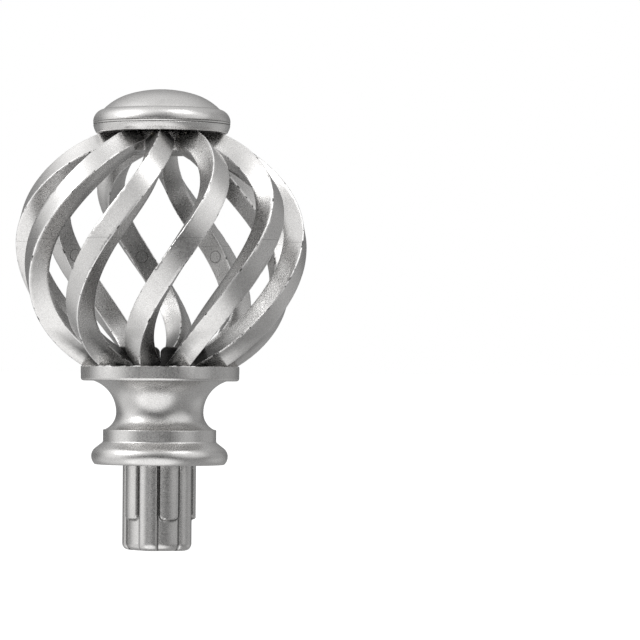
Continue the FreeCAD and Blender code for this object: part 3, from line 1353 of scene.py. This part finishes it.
@dataclass
class Studio:
    """Floor, white surround, lamps and camera."""

    floor_level: float
    camera_distance: float = 1161 * MM
    camera_height: float = 28.35 * MM
    frame_px: int = 640
    focal_px: float = 3870.0
    axis_px: float = 160.06
    horizon_px: float = 370.0
    roll: float = 0.41
    sensor_mm: float = 36.0
    room_front: float = 0.08
    room_back: float = 0.2
    room_front_to: float = -0.7
    room_back_from: float = 0.1
    room_top: float = 0.58
    room_top_tilt: float = 0.2
    room_top_reach: float = 0.6
    room_top_rise: float = 0.85
    room_below: float = 0.2
    room_below_reach: float = 0.35
    glows: tuple = (
        Glow(bearing=-75, rise=34, core=15, edge=54, strength=0.75),
        Glow(bearing=45, rise=70, core=8, edge=25, strength=0.3),
        Glow(bearing=56, rise=27, core=14, edge=42, strength=0.7),
        Glow(bearing=115, rise=-2, core=12, edge=34, strength=0.2),
        Glow(bearing=-16, rise=-45, core=26, edge=48, strength=1.0),
        Glow(bearing=-88, rise=-25, core=20, edge=48, strength=0.45),
    )
    floor_size: float = 60.0
    floor_tone: float = 0.3
    floor_seen: float = 0.92
    lamp_target: tuple = (0.0, 0.0, 0.05)
    lamps: tuple = (
        SoftBox("box_left", (-0.74, -0.3, 0.68), width=0.42, height=0.6, power=2.4),
        SoftBox("box_right", (0.36, -0.3, 0.9), width=0.36, height=0.5, power=1.0),
    )

    def camera(self) -> None:
        """Places the camera: level with the neck, long lens, the object left of centre."""
        data = bpy.data.cameras.new("camera")
        data.sensor_width = self.sensor_mm
        data.lens = self.sensor_mm * self.focal_px / self.frame_px
        half = self.frame_px / 2
        data.shift_x = (half - self.axis_px) / self.frame_px
        data.shift_y = (self.horizon_px - half) / self.frame_px
        camera = bpy.data.objects.new("camera", data)
        camera.location = (0, -self.camera_distance, self.camera_height)
        camera.rotation_euler = (math.radians(90), -math.radians(self.roll), 0)
        bpy.context.scene.collection.objects.link(camera)
        bpy.context.scene.camera = camera

    def world(self) -> None:
        """Surround: white where it is seen, and a studio's soft lights where it lights.

        The room is dim in front at eye level and bright overhead, with soft glows in it.
        """
        world = bpy.data.worlds.new("surround")
        world.use_nodes = True
        bench = NodeBench("", world)
        toward = bench.node("ShaderNodeTexCoord").outputs["Generated"]
        parts = bench.split(toward)
        height = bench.remap(parts["Z"], 0.0, self.room_top_rise, 0.0, 1.0)
        left, right = self.room_top * (1 + self.room_top_tilt), self.room_top * (1 - self.room_top_tilt)
        tilt = bench.remap(parts["X"], -self.room_top_reach, self.room_top_reach, left, right)
        overhead = bench.maths("MULTIPLY", bench.maths("POWER", height, 2.0), tilt)
        ends = (self.room_front_to, self.room_back_from)
        around = bench.remap(parts["Y"], *ends, self.room_front, self.room_back)
        below = bench.remap(parts["Z"], -self.room_below_reach, 0.0, self.room_below, 0.0)
        total = bench.maths("ADD", bench.maths("ADD", overhead, around), below)
        for glow in self.glows:
            total = bench.maths("ADD", total, self.glow(bench, toward, glow))
        seen = self.seen(bench, bench.node("ShaderNodeLightPath"))
        strength = bench.node("ShaderNodeMix", data_type="FLOAT")
        bench.join(seen, strength.inputs["Factor"])
        bench.join(total, strength.inputs["A"])
        strength.inputs["B"].default_value = 1.0
        background = bench.node("ShaderNodeBackground")
        background.inputs["Color"].default_value = (1, 1, 1, 1)
        bench.join(strength.outputs["Result"], background.inputs["Strength"])
        bench.join(background.outputs[0], bench.output.inputs["Surface"])
        bpy.context.scene.world = world

    @staticmethod
    def seen(bench: NodeBench, paths: bpy.types.Node) -> bpy.types.NodeSocket:
        """Value that is 1 where the camera looks, also through clear things."""
        return bench.maths("MAXIMUM", paths.outputs["Is Camera Ray"], paths.outputs["Is Transmission Ray"])

    @staticmethod
    def glow(bench: NodeBench, toward: bpy.types.NodeSocket, glow: Glow) -> bpy.types.NodeSocket:
        """Works out one soft glow.

        Args:
            bench: The surround's nodes.
            toward: The direction looked in.
            glow: The glow.

        Returns:
            Its strength in that direction.
        """
        rise = math.radians(glow.rise)
        middle = polar(math.cos(rise), glow.bearing, math.sin(rise))
        near = bench.vector("DOT_PRODUCT", toward, middle).outputs["Value"]
        edge, core = math.cos(math.radians(glow.edge)), math.cos(math.radians(glow.core))
        soft = bench.remap(near, edge, core, 0.0, glow.strength)
        soft.node.interpolation_type = "SMOOTHSTEP"
        return soft

    def lamp(self, box: SoftBox) -> None:
        """Hangs a soft box that faces the ball.

        Args:
            box: The lamp.
        """
        data = bpy.data.lights.new(box.name, "AREA")
        data.shape = "RECTANGLE"
        data.size = box.width
        data.size_y = box.height
        data.energy = box.power
        lamp = bpy.data.objects.new(box.name, data)
        lamp.location = box.place
        toward = Vector(self.lamp_target) - Vector(box.place)
        lamp.rotation_euler = toward.to_track_quat("-Z", "Y").to_euler()
        bpy.context.scene.collection.objects.link(lamp)

    def floor(self) -> None:
        """Lays the pale floor, which shows white, keeps the object's shadow and isn't mirrored."""
        bm = bmesh.new()
        bmesh.ops.create_grid(bm, x_segments=1, y_segments=1, size=self.floor_size)
        bmesh.ops.translate(bm, verts=bm.verts, vec=(0, 0, self.floor_level))
        mesh = bpy.data.meshes.new("floor")
        bm.to_mesh(mesh)
        bm.free()
        bench = NodeBench("floor_white")
        shader = bench.node("ShaderNodeBsdfDiffuse")
        shader.inputs["Color"].default_value = (*(self.floor_tone,) * 3, 1)
        shine = bench.node("ShaderNodeEmission")
        paths = bench.node("ShaderNodeLightPath")
        lit = bench.maths("MULTIPLY", self.seen(bench, paths), self.floor_seen)
        bench.join(lit, shine.inputs["Strength"])
        both = bench.node("ShaderNodeAddShader")
        bench.join(shader.outputs[0], both.inputs[0])
        bench.join(shine.outputs[0], both.inputs[1])
        clear = bench.node("ShaderNodeBsdfTransparent")
        either = bench.node("ShaderNodeMixShader")
        bench.join(paths.outputs["Is Glossy Ray"], either.inputs[0])
        bench.join(both.outputs[0], either.inputs[1])
        bench.join(clear.outputs[0], either.inputs[2])
        bench.join(either.outputs[0], bench.output.inputs["Surface"])
        mesh.materials.append(bench.material)
        floor = bpy.data.objects.new("floor", mesh)
        bpy.context.scene.collection.objects.link(floor)
        floor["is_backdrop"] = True

    def build(self) -> None:
        """Sets up the whole studio."""
        self.camera()
        self.world()
        self.floor()
        for box in self.lamps:
            self.lamp(box)
        bpy.context.scene.view_settings.view_transform = "Standard"


# Main


def corner_lists(bounds: tuple) -> list:
    """Two corners as plain lists."""
    return [list(corner) for corner in bounds]


def main() -> None:
    """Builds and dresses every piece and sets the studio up."""
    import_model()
    cad_box = corner_lists(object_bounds())
    base = BaseMoulding()
    collar_top = base.collar_top
    joint, cap_bottom = (corner[2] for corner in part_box("cage_upper"))
    bar = TwistedBar(foot_level=collar_top, top_level=cap_bottom)
    edge = WornEdge("worn_edge").build()
    # Near-black painted shade for the cap's grooves, its crease and the marks' rings.
    groove_shade = PaintedGrooveShade("painted_groove_shade").build()
    centre = bar.centre_level()
    # Both cage paints carry painted shade in the recesses at their ends and on the bars' inner faces.
    lower_paint = SilverPaint(
        "cage_lower_paint", recess_low=41 * MM, recess_high=34 * MM, recess_radius=24 * MM,
        recess_slope=1.4, recess_shade_tone=0.18, ball_radius=bar.radius, ball_level=centre,
        ball_reach=centre - collar_top + bar.overrun_foot, joint_level=joint,
    ).build()
    upper_paint = SilverPaint(
        "cage_upper_paint", recess_low=93.5 * MM, recess_high=97.5 * MM, recess_radius=18 * MM,
        ball_radius=bar.radius, ball_level=centre, ball_reach=cap_bottom - centre + bar.overrun_top,
        joint_level=joint,
    ).build()
    # The base's paint is darkened along the spigot's crevices as painted shade.
    base.build([SilverPaint("base_paint", crevice_shade_tone=0.3).build(), edge, groove_shade])
    CageHalf(
        bar, "cage_lower_moulding", "cage_lower", collar_top, joint, hub_radius=15.6 * MM,
        hub_skirt=15.6 * MM, hub_bottom=collar_top, hub_top=collar_top + 5.8 * MM, hub_steps=400,
        has_marks=True, shoulder_round=2.1 * MM,
    ).build([lower_paint, edge, groove_shade])
    CageHalf(
        bar, "cage_upper_moulding", "cage_upper", joint, cap_bottom, hub_radius=13.0 * MM,
        hub_skirt=15.5 * MM, hub_bottom=cap_bottom - 6.0 * MM, hub_top=cap_bottom,
    ).build([upper_paint, edge, groove_shade])
    Cap(bottom=cap_bottom).build([SilverPaint("cap_paint").build(), edge, groove_shade])
    GlueBeads().build([Glue("glue").build()])
    Studio(floor_level=cad_box[0][2]).build()


if __name__ == "__main__":
    main()
